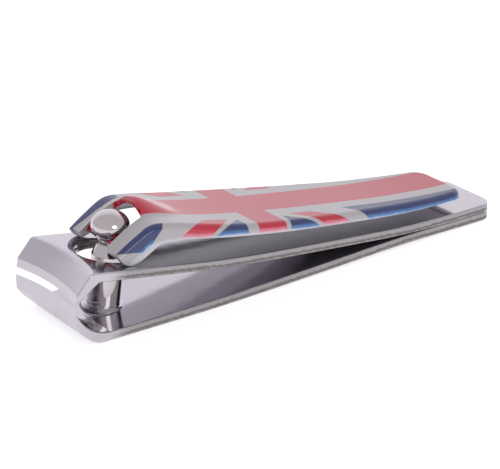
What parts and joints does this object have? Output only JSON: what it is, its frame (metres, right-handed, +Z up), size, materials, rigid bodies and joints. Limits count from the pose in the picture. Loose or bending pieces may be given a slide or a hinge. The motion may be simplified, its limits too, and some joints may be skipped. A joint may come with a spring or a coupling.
{
  "type": "nail clipper",
  "caption": "Fingernail clipper: two sprung steel arms with hollow-ground jaws, a headed swivel post and a flag-striped sheet lever that turns and flips over to squeeze the jaws.",
  "frame": {"origin": "middle of the clipper's footprint, on the table it stands on", "axes": "+X from the jaws to the tail, +Y across the width, +Z up"},
  "size_m": [0.0612, 0.0132, 0.013],
  "materials": {
    "arm_steel": "polished faces, satin stamped edges",
    "post_steel": "polished",
    "lever_paint": "gloss lacquer over a red, white and navy print"
  },
  "bodies": {
    "lower_arm": {"lower_plate": "arm_steel"},
    "upper_arm": {"upper_plate": "arm_steel"},
    "post": {"pivot_post": "post_steel"},
    "lever": {"lever": "lever_paint"}
  },
  "joints": [
    {"name": "jaw_squeeze", "type": "hinge", "parent": "lower_arm", "child": "upper_arm", "pos_m": [0.0169, 0, 0.0015], "axis": [0, -1, 0], "range_deg": [0, 1], "stiffness_Nm_per_rad": 20},
    {"name": "post_swivel", "type": "hinge", "parent": "lower_arm", "child": "post", "pos_m": [-0.02335, 0, 0.00107], "axis": [0.1392, 0, 0.9903], "continuous": true},
    {"name": "lever_flip", "type": "hinge", "parent": "post", "child": "lever", "pos_m": [-0.0225, 0, 0.009], "axis": [0, -1, 0], "range_deg": [0, 145]}
  ],
  "couplings": [
    {"joint": "jaw_squeeze", "follows": "lever_flip", "ratio": 0.0068966}
  ]
}
